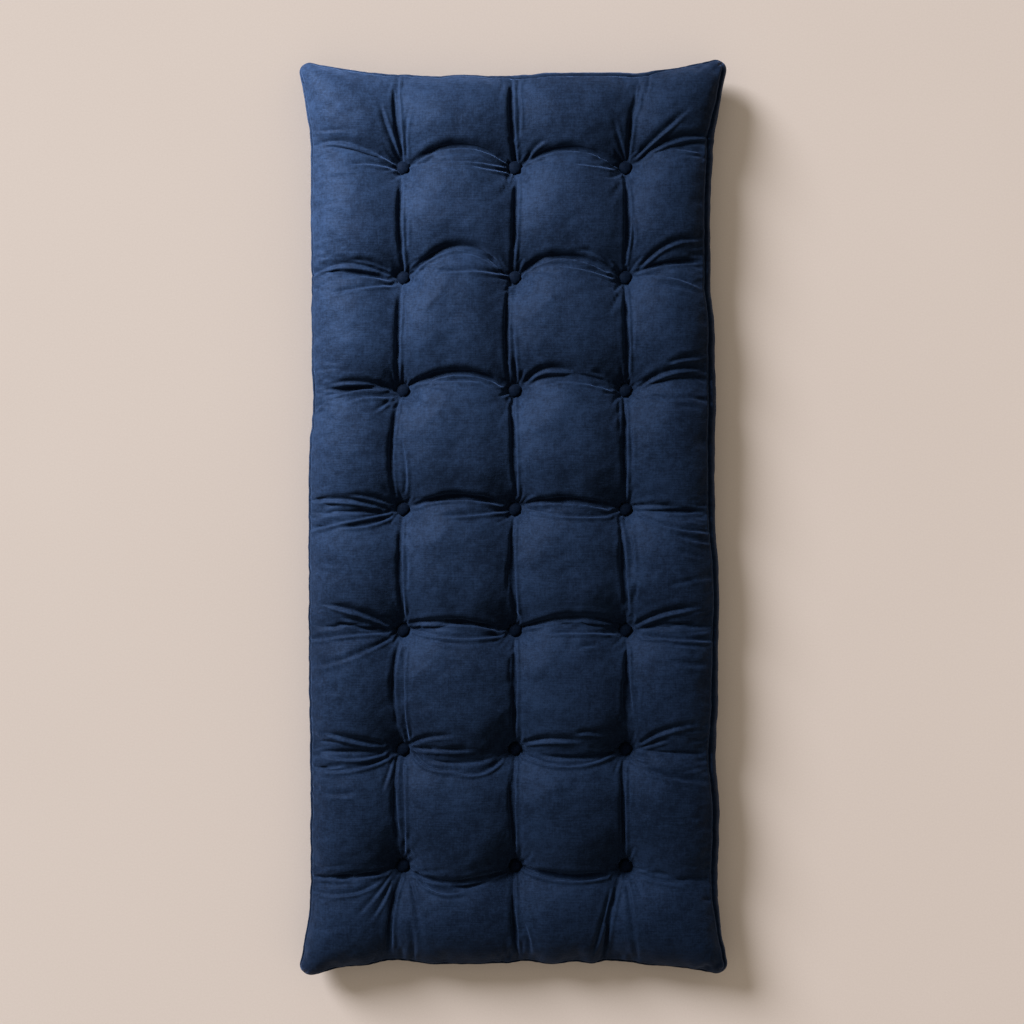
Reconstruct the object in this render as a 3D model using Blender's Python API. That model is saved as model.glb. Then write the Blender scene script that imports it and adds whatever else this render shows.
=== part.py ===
"""Tufted futon mattress: a velvet cover sewn from two panels, three layers of filling, and a grid of
covered buttons that are each tied through the filling to a yarn tuft on the underside.

The mattress lies flat on the floor. +X runs across it, +Y towards its head and +Z up, and the origin is
on the floor under its middle. All values are in metres.

Run it with: blender --background --python part.py
"""

import math

import bmesh
import bpy

# Driving dimensions. The seam goes round the mattress at its widest, halfway up.
HALF_WIDTH = 0.4355
HALF_LENGTH = 0.9525
THICKNESS = 0.120
SEAM_Z = 0.054
EAR_WIDEN = 0.0235
EAR_LENGTHEN = 0.030
EAR_BLUNT = 0.003
EAR_CURVE = 1.5

# Where the tufts are. Hand tufting leaves the rows a little uneven from head to foot.
TUFT_COLUMNS = (-0.238, 0.002, 0.239)
TUFT_ROWS = (0.751, 0.515, 0.273, 0.019, -0.241, -0.496, -0.746)
TOP_TUFT_Z = 0.058
UNDER_TUFT_Z = 0.020

# The filling's shape. A valley between two tufts reaches this share of the crown's height.
VALLEY = 0.50
TOP_ROLL = 0.090
UNDER_ROLL = 0.085
SHOULDER = 0.026
TUFT_FLOOR = 0.016

# The cover and the filling
FABRIC = 0.0015
SEAM_ALLOWANCE = 0.012
SEAM_GAP = 0.0004
SKIN = 0.0032
LAYER_GAP = 0.0004
LAYERS = (("batting_lower", 0.0, 0.27), ("foam_core", 0.27, 0.73), ("batting_upper", 0.73, 1.0))
PANEL_HOLE = 0.0052
LAYER_HOLE = 0.0058

# The covered button and the tie that holds it down
BUTTON_RADIUS = 0.0145
BUTTON_HEIGHT = 0.0105
BUTTON_GAP = 0.0004
SHANK_RADIUS = 0.0038
SHANK_WIRE = 0.0007
TWINE_RADIUS = 0.0008
TWINE_SPREAD = 0.0026
TUFT_RADIUS = 0.011
TUFT_HEIGHT = 0.0055
ROUND_SIDES = 14

VELVET = ("cover_velvet", (0.022, 0.042, 0.098), 0.85, 0.0)
BATTING = ("cotton_batting", (0.80, 0.76, 0.66), 0.95, 0.0)
FOAM = ("core_foam", (0.78, 0.70, 0.48), 0.90, 0.0)
BUTTON_VELVET = ("button_velvet", (0.018, 0.034, 0.080), 0.85, 0.0)
TWINE = ("tufting_twine", (0.045, 0.060, 0.095), 0.60, 0.0)


def clear_scene():
    for old in list(bpy.data.objects):
        bpy.data.objects.remove(old)


def material(name, colour, roughness, metallic):
    made = bpy.data.materials.get(name) or bpy.data.materials.new(name)
    made.use_nodes = True
    shader = made.node_tree.nodes["Principled BSDF"]
    shader.inputs["Base Color"].default_value = (*colour, 1.0)
    shader.inputs["Roughness"].default_value = roughness
    shader.inputs["Metallic"].default_value = metallic
    made.diffuse_color = (*colour, 1.0)
    return made


def add_object(name, mesh, finish, location=(0.0, 0.0, 0.0)):
    made = bpy.data.objects.new(name, mesh)
    made.location = location
    bpy.context.scene.collection.objects.link(made)
    if not mesh.materials:
        mesh.materials.append(material(*finish))
    return made


def mesh_from(name, build):
    """A mesh with what build(bm) puts in it, its faces turned outwards."""
    bm = bmesh.new()
    build(bm)
    bmesh.ops.recalc_face_normals(bm, faces=bm.faces)
    mesh = bpy.data.meshes.new(name)
    bm.to_mesh(mesh)
    bm.free()
    return mesh


def grid_lines(half, tufts):
    """Grid lines in one direction, each with how far the filling crowns there, from 0 at a tuft to 1."""
    lines = [(-half, 1.0), (SHOULDER - half, 1.0)]
    start = SHOULDER - half
    for tuft in sorted(tufts):
        lines.append(((start + tuft - TUFT_FLOOR) / 2, 1.0))
        lines.append((tuft - TUFT_FLOOR, 0.0))
        lines.append((tuft + TUFT_FLOOR, 0.0))
        start = tuft + TUFT_FLOOR
    lines.append(((start + half - SHOULDER) / 2, 1.0))
    lines.append((half - SHOULDER, 1.0))
    lines.append((half, 1.0))
    return lines


ACROSS = grid_lines(HALF_WIDTH, TUFT_COLUMNS)
ALONG = grid_lines(HALF_LENGTH, TUFT_ROWS)
LAST_I = len(ACROSS) - 1
LAST_J = len(ALONG) - 1


def edge_rise(inset, roll):
    """The share of its full height that the filling reaches this far in from the seam."""
    left = max(0.0, 1.0 - inset / roll)
    return math.sqrt(1.0 - left * left)


def edge_share(i, j, roll):
    """edge_rise from the seams on both sides of grid point i, j."""
    rise_x = edge_rise(HALF_WIDTH - abs(ACROSS[i][0]), roll)
    rise_y = edge_rise(HALF_LENGTH - abs(ALONG[j][0]), roll)
    return rise_x * rise_y


def top_height(i, j):
    """Height of the cover's upper face: crowned in each cell, and down at the tufts and the seam."""
    crown_x, crown_y = ACROSS[i][1], ALONG[j][1]
    crown = VALLEY * (crown_x + crown_y) + (1 - 2 * VALLEY) * crown_x * crown_y
    middle = TOP_TUFT_Z + (THICKNESS - TOP_TUFT_Z) * crown
    return SEAM_Z + (middle - SEAM_Z) * edge_share(i, j, TOP_ROLL)


def under_height(i, j):
    """Height of the cover's lower face: flat on the floor, and up at the tufts and the seam."""
    recess = UNDER_TUFT_Z * (1 - max(ACROSS[i][1], ALONG[j][1]))
    return recess + SEAM_Z * (1 - edge_share(i, j, UNDER_ROLL))


def ear_share(value, half, tufts):
    """How much of a corner's drawing out applies here: none up to the outermost tuft, all at the seam."""
    start = max(map(abs, tufts)) + TUFT_FLOOR
    return max(0.0, (abs(value) - start) / (half - start)) ** EAR_CURVE


def plan_point(i, j):
    """Where grid point i, j is in plan, with the corners drawn out into blunt ears."""
    x, y = ACROSS[i][0], ALONG[j][0]
    blunt = EAR_BLUNT if abs(x) == HALF_WIDTH and abs(y) == HALF_LENGTH else 0.0
    out_x = EAR_WIDEN * ear_share(y, HALF_LENGTH, TUFT_ROWS) * abs(x) / HALF_WIDTH - blunt
    out_y = EAR_LENGTHEN * ear_share(x, HALF_WIDTH, TUFT_COLUMNS) * abs(y) / HALF_LENGTH - blunt
    return x + math.copysign(out_x, x), y + math.copysign(out_y, y)


def grid_verts(bm, height, inset=0):
    """A dictionary of new vertices at the grid points, leaving out this many rings next to the seam."""
    return {
        (i, j): bm.verts.new((*plan_point(i, j), height(i, j)))
        for i in range(inset, LAST_I + 1 - inset)
        for j in range(inset, LAST_J + 1 - inset)
    }


def is_tuft_floor(i, j):
    """True for the cell whose lower corner is i, j if it is the flat floor of a tuft."""
    return ACROSS[i][1] == ACROSS[i + 1][1] == ALONG[j][1] == ALONG[j + 1][1] == 0


def add_grid_faces(bm, verts, hole_half):
    """Faces over the grid, with a square hole in each tuft floor. Returns the holes' rings of vertices."""
    holes = []
    for i, j in verts:
        if (i + 1, j + 1) not in verts:
            continue
        corners = [verts[i, j], verts[i + 1, j], verts[i + 1, j + 1], verts[i, j + 1]]
        if is_tuft_floor(i, j):
            holes.append(add_holed_floor(bm, corners, hole_half))
            continue
        # The diagonal joins the two corners that are neither the lowest nor the highest.
        heights = [corner.co.z for corner in corners]
        if abs(heights[0] - heights[2]) < abs(heights[1] - heights[3]):
            halves = ((0, 1, 2), (0, 2, 3))
        else:
            halves = ((0, 1, 3), (1, 2, 3))
        for half in halves:
            bm.faces.new([corners[k] for k in half])
    return holes


def add_holed_floor(bm, corners, hole_half):
    """The floor of one tuft, as four faces round a square hole for the tie."""
    middle = sum((corner.co for corner in corners), corners[0].co * 0) / 4
    signs = ((-1, -1), (1, -1), (1, 1), (-1, 1))
    ring = [
        bm.verts.new((middle.x + a * hole_half, middle.y + b * hole_half, middle.z))
        for a, b in signs
    ]
    for k in range(4):
        n = (k + 1) % 4
        bm.faces.new((corners[k], corners[n], ring[n], ring[k]))
    return ring


def rim_steps(inset=0):
    """The grid points round the rim, in order."""
    low, last_i, last_j = inset, LAST_I - inset, LAST_J - inset
    steps = [(i, low) for i in range(low, last_i)]
    steps += [(last_i, j) for j in range(low, last_j)]
    steps += [(i, last_j) for i in range(last_i, low, -1)]
    steps += [(low, j) for j in range(last_j, low, -1)]
    return steps


def add_band(bm, first, second):
    """Faces that join two rings of vertices."""
    for k in range(len(first)):
        n = (k + 1) % len(first)
        bm.faces.new((first[k], first[n], second[n], second[k]))


def add_seam_allowance(bm, verts):
    """The cover's raw edge, turned in at the seam."""
    steps = rim_steps()
    share = SEAM_ALLOWANCE / SHOULDER
    turned = []
    for i, j in steps:
        rim = verts[i, j].co
        inner = verts[min(max(i, 1), LAST_I - 1), min(max(j, 1), LAST_J - 1)].co
        turned.append(
            bm.verts.new((
                rim.x + (inner.x - rim.x) * share,
                rim.y + (inner.y - rim.y) * share,
                rim.z,
            ))
        )
    add_band(bm, [verts[step] for step in steps], turned)


def make_panel(name, height, rim_z, outward):
    """One panel of the cover: a sheet over the grid, thickened to the fabric's thickness inwards."""

    def build(bm):
        verts = grid_verts(bm, height)
        for step in rim_steps():
            verts[step].co.z = rim_z
        add_grid_faces(bm, verts, PANEL_HOLE)
        add_seam_allowance(bm, verts)

    mesh = mesh_from(name, build)
    middle = max(mesh.polygons, key=lambda face: outward * face.center.z)
    if middle.normal.z * outward < 0:
        mesh.flip_normals()
    panel = add_object(name, mesh, VELVET)
    solidify = panel.modifiers.new("fabric", "SOLIDIFY")
    solidify.thickness = FABRIC
    solidify.offset = -1.0
    solidify.use_even_offset = True
    return panel


def make_layer(name, low_share, high_share):
    """One layer of the filling, between two shares of the height inside the cover."""

    def level(share, gap):
        def height(i, j):
            low, high = under_height(i, j) + SKIN, top_height(i, j) - SKIN
            return low + (high - low) * share + gap

        return height

    def build(bm):
        upper = grid_verts(bm, level(high_share, -LAYER_GAP / 2), inset=1)
        lower = grid_verts(bm, level(low_share, LAYER_GAP / 2), inset=1)
        upper_holes = add_grid_faces(bm, upper, LAYER_HOLE)
        lower_holes = add_grid_faces(bm, lower, LAYER_HOLE)
        for above, below in zip(upper_holes, lower_holes):
            add_band(bm, above, below)
        steps = rim_steps(inset=1)
        add_band(bm, [upper[step] for step in steps], [lower[step] for step in steps])

    return add_object(name, mesh_from(name, build), FOAM if name == "foam_core" else BATTING)


def spun_mesh(name, profile):
    """A closed turned solid from a profile of (radius, height) points that starts and ends on the axis."""

    def build(bm):
        points = [bm.verts.new((radius, 0.0, z)) for radius, z in profile]
        edges = [bm.edges.new(pair) for pair in zip(points, points[1:])]
        bmesh.ops.spin(
            bm, geom=points + edges, cent=(0, 0, 0), axis=(0, 0, 1), angle=math.tau, steps=ROUND_SIDES
        )
        bmesh.ops.remove_doubles(bm, verts=bm.verts, dist=1e-6)

    return mesh_from(name, build)


def tube_mesh(name, points, radius):
    """A round tube with closed ends, along a line of points."""
    curve = bpy.data.curves.new(name, "CURVE")
    curve.dimensions = "3D"
    curve.bevel_depth = radius
    curve.bevel_resolution = 1
    curve.use_fill_caps = True
    spline = curve.splines.new("POLY")
    spline.points.add(len(points) - 1)
    for spot, point in zip(spline.points, points):
        spot.co = (*point, 1.0)
    guide = bpy.data.objects.new(name, curve)
    bpy.context.scene.collection.objects.link(guide)
    bpy.context.view_layer.update()
    graph = bpy.context.evaluated_depsgraph_get()
    mesh = bpy.data.meshes.new_from_object(guide.evaluated_get(graph))
    bpy.data.objects.remove(guide)
    bm = bmesh.new()
    bm.from_mesh(mesh)
    bmesh.ops.remove_doubles(bm, verts=bm.verts, dist=1e-6)
    bmesh.ops.recalc_face_normals(bm, faces=bm.faces)
    bm.to_mesh(mesh)
    bm.free()
    return mesh


def joined_mesh(name, first, second):
    """Two overlapping closed meshes as one."""
    body = bpy.data.objects.new(name, first)
    other = bpy.data.objects.new(name + "_other", second)
    for piece in (body, other):
        bpy.context.scene.collection.objects.link(piece)
    union = body.modifiers.new("union", "BOOLEAN")
    union.operation = "UNION"
    union.object = other
    bpy.context.view_layer.update()
    graph = bpy.context.evaluated_depsgraph_get()
    mesh = bpy.data.meshes.new_from_object(body.evaluated_get(graph))
    for piece in (body, other):
        bpy.data.objects.remove(piece)
    mesh.name = name
    mesh.materials.clear()
    mesh.shade_smooth()
    mesh.set_sharp_from_angle(angle=math.radians(50))
    return mesh


def arc_points(radius, centre_z, steps, plane):
    """Points of a half circle that opens upwards or downwards, in the XZ or the YZ plane."""
    points = []
    for k in range(steps + 1):
        turn = math.pi * k / steps
        across, up = math.cos(turn) * radius, math.sin(turn) * radius
        points.append((across, 0.0, centre_z - up) if plane == "XZ" else (0.0, across, centre_z + up))
    return points


def button_mesh():
    """A covered button: a domed shell closed by its back, with a wire shank under it."""
    rim = 0.93 * BUTTON_RADIUS
    dome = spun_mesh(
        "button_dome",
        (
            (0.0, 0.0),
            (rim, 0.0),
            (BUTTON_RADIUS, 0.26 * BUTTON_HEIGHT),
            (0.86 * BUTTON_RADIUS, 0.66 * BUTTON_HEIGHT),
            (0.50 * BUTTON_RADIUS, 0.93 * BUTTON_HEIGHT),
            (0.0, BUTTON_HEIGHT),
        ),
    )
    sunk = 0.0012
    half_turn = arc_points(SHANK_RADIUS, 0.0, 6, "XZ")
    loop = [(SHANK_RADIUS, 0.0, sunk)] + half_turn + [(-SHANK_RADIUS, 0.0, sunk)]
    return joined_mesh("covered_button", dome, tube_mesh("shank", loop, SHANK_WIRE))


def tie_mesh():
    """A doubled twine that hangs from the button's shank and is knotted round a yarn tuft below."""
    tuft_top = UNDER_TUFT_Z - BUTTON_GAP
    tuft = spun_mesh(
        "yarn_tuft",
        (
            (0.0, tuft_top),
            (0.90 * TUFT_RADIUS, tuft_top),
            (TUFT_RADIUS, tuft_top - 0.35 * TUFT_HEIGHT),
            (0.75 * TUFT_RADIUS, tuft_top - 0.85 * TUFT_HEIGHT),
            (0.0, tuft_top - TUFT_HEIGHT),
        ),
    )
    button_z = TOP_TUFT_Z + BUTTON_GAP
    arch_top = button_z - SHANK_RADIUS + SHANK_WIRE + TWINE_RADIUS + 0.0003
    foot = tuft_top - 0.4 * TUFT_HEIGHT
    arch = arc_points(TWINE_SPREAD, arch_top - TWINE_SPREAD, 4, "YZ")
    twine = [(0.0, TWINE_SPREAD, foot)] + arch + [(0.0, -TWINE_SPREAD, foot)]
    return joined_mesh("tuft_tie", tuft, tube_mesh("twine", twine, TWINE_RADIUS))


def make_tufts():
    """A button and its tie at every crossing of the tuft rows and columns."""
    button, tie = button_mesh(), tie_mesh()
    for row, y in enumerate(TUFT_ROWS, start=1):
        for column, x in enumerate(TUFT_COLUMNS, start=1):
            add_object(f"button_r{row}_c{column}", button, BUTTON_VELVET, (x, y, TOP_TUFT_Z + BUTTON_GAP))
            add_object(f"tuft_tie_r{row}_c{column}", tie, TWINE, (x, y, 0.0))


def main():
    clear_scene()
    make_panel("cover_top_panel", top_height, SEAM_Z + SEAM_GAP / 2, 1)
    make_panel("cover_bottom_panel", under_height, SEAM_Z - SEAM_GAP / 2, -1)
    for name, low_share, high_share in LAYERS:
        make_layer(name, low_share, high_share)
    make_tufts()


main()
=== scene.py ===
"""The looks of a button-tufted futon mattress: a velvet cover over soft filling, drawn down by covered
buttons that are tied through to yarn tufts on the underside.

Values are in metres unless a name or comment says otherwise. +X runs across the mattress, +Y towards its
head and +Z up from the floor. The cover is one grid of points that is inflated as cloth, creased along its
folds and then parted at the seam into a top and a bottom panel.
"""

import math

import bmesh
import bpy
import numpy as np
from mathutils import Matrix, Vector


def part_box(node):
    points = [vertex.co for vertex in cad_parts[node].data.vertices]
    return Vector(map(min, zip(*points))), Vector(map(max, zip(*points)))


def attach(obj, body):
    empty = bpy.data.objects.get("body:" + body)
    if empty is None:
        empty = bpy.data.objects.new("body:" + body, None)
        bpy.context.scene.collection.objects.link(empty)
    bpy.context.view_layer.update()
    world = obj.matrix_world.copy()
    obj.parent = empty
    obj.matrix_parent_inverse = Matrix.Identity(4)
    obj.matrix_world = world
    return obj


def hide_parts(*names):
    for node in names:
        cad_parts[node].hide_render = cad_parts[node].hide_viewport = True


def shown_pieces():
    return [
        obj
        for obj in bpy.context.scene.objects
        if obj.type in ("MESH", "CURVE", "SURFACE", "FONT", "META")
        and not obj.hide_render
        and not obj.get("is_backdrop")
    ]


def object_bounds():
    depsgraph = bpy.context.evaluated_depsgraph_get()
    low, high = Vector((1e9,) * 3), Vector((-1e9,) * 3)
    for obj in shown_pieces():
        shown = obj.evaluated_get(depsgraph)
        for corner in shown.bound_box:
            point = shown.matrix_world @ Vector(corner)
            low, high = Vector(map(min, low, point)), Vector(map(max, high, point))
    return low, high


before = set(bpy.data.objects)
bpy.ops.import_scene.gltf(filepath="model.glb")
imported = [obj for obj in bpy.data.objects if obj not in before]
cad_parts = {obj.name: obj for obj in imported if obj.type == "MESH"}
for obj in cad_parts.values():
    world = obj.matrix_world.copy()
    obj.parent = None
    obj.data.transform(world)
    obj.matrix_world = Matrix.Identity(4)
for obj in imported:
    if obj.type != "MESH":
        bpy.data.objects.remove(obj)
CAD_LOW, CAD_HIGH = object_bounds()

MM = 0.001
ROWS, COLUMNS = 7, 3


def centre(node):
    low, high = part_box(node)
    return (np.array(low) + np.array(high)) / 2


def placed(name, data):
    """A new object, put in the scene."""
    made = bpy.data.objects.new(name, data)
    bpy.context.scene.collection.objects.link(made)
    return made


# Where the tufts are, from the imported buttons: row 1 is at the head and column 1 on the left
TUFT_X = np.array([centre(f"button_r1_c{c + 1}")[0] for c in range(COLUMNS)])
TUFT_Y = np.array([centre(f"button_r{r + 1}_c1")[1] for r in range(ROWS)])

# How far up a button's foot is from its shank's end, and the cover over a yarn tuft from the yarn's ends
SHANK_DEPTH = 0.0046
YARN_DEPTH = 0.0059
BUTTON_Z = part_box("button_r1_c1")[0][2] + SHANK_DEPTH
UNDER_TUFT_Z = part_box("tuft_tie_r1_c1")[0][2] + YARN_DEPTH

# The cover's outline: half its sizes at the middles of its sides, and how its corners are drawn out
HALF_WIDTH = CAD_HIGH[0] - 0.0205
HALF_LENGTH = CAD_HIGH[1] - 0.027
EAR_WIDEN = 0.0275
EAR_LENGTHEN = 0.034
EAR_CURVE = 1.5
EAR_START = 0.016
EAR_SPREAD = 3
EAR_ROUND = 0.023
EAR_LEAN = math.radians(13)

# How far the outline bows out from that, which is never quite even: along the sides as y and then the left
# and the right side's amount, and along the ends as x and then the head's and the foot's. The bows die out
# inwards from the edge by these powers.
SIDE_BOW_SPREAD = 6
END_BOW_SPREAD = 9
SIDE_BOWS = (
    (-0.90, 0.004, 0.003), (-0.76, 0.002, 0.002), (-0.60, 0.001, 0.006), (-0.51, 0.003, -0.002),
    (-0.38, 0.004, 0.003), (-0.18, 0.006, 0.006), (0.02, 0.006, -0.003), (0.14, 0.006, -0.004),
    (0.23, -0.003, -0.002), (0.37, -0.001, -0.004), (0.48, -0.001, -0.014), (0.62, 0.001, -0.014),
    (0.74, 0.001, -0.007), (0.84, 0.005, 0.000), (0.96, 0.004, 0.000),
)
END_BOWS = (
    (-0.41, 0.001, 0.005), (-0.36, 0.000, 0.002), (-0.29, 0.001, 0.005), (-0.22, 0.000, -0.002),
    (-0.15, -0.005, 0.005), (-0.10, 0.000, 0.006), (-0.02, -0.005, 0.004), (0.03, 0.000, 0.000),
    (0.10, 0.003, 0.006), (0.165, 0.004, 0.000), (0.20, 0.004, 0.004), (0.24, 0.004, -0.001),
    (0.31, 0.006, 0.004), (0.41, 0.006, 0.002),
)

# Its section: the cells' crowns, the valleys' share of that height, and each tuft's dimple, with the filling
# that the button squeezes out from it
SEAM_Z = 0.054
CROWN_Z = CAD_HIGH[2] - 0.005
CROWN_CURVE = 2.3
CELL_REACH = 0.105
ACROSS_VALLEY = 0.45
ALONG_VALLEY = 0.50
EDGE_START = 0.03
EDGE_LIFT = 0.45
TUFT_FLOOR_Z = BUTTON_Z - 0.0012
TUFT_FLOOR_RADIUS = 0.0132
TUFT_WALL_SLOPE = 1.5
TUFT_WALL_BLEND = 0.004
TUFT_SWELL = 0.0045
TUFT_SWELL_AT = 0.044
TUFT_SWELL_WIDTH = 0.019
TOP_ROLL = 0.095
UNDER_ROLL = 0.070
UNDER_TUFT_RADIUS = 0.012
UNDER_TUFT_REACH = 0.030
UNDER_TUFT_CURVE = 1.6

# The curve in which a valley bows or leans between its tufts
VALLEY_CURVE = 0.8

# How far a valley between two tufts bows towards the head, for each row: at the left side, between
# columns 1 and 2, between columns 2 and 3, and at the right side.
VALLEY_BOWS = (
    (0.040, 0.036, 0.032, 0.052),
    (0.008, 0.054, 0.040, 0.045),
    (0.000, 0.036, 0.032, 0.038),
    (-0.010, 0.024, 0.018, -0.010),
    (0.020, 0.014, 0.020, 0.020),
    (0.008, -0.024, -0.012, 0.000),
    (-0.018, -0.036, -0.016, -0.018),
)

# How far a valley between two rows of tufts leans to the right of the tufts, for each column: from the head
# to row 1, from row 1 to row 2 and so on down to the foot. The first and last are at the end's edge.
VALLEY_LEANS = (
    (-0.011, -0.005, -0.008, -0.020, -0.005, -0.017, -0.014, -0.024),
    (-0.007, 0.000, -0.017, -0.003, -0.006, -0.001, -0.005, 0.002),
    (0.013, 0.003, 0.000, -0.004, -0.007, 0.003, -0.008, -0.048),
)

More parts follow.
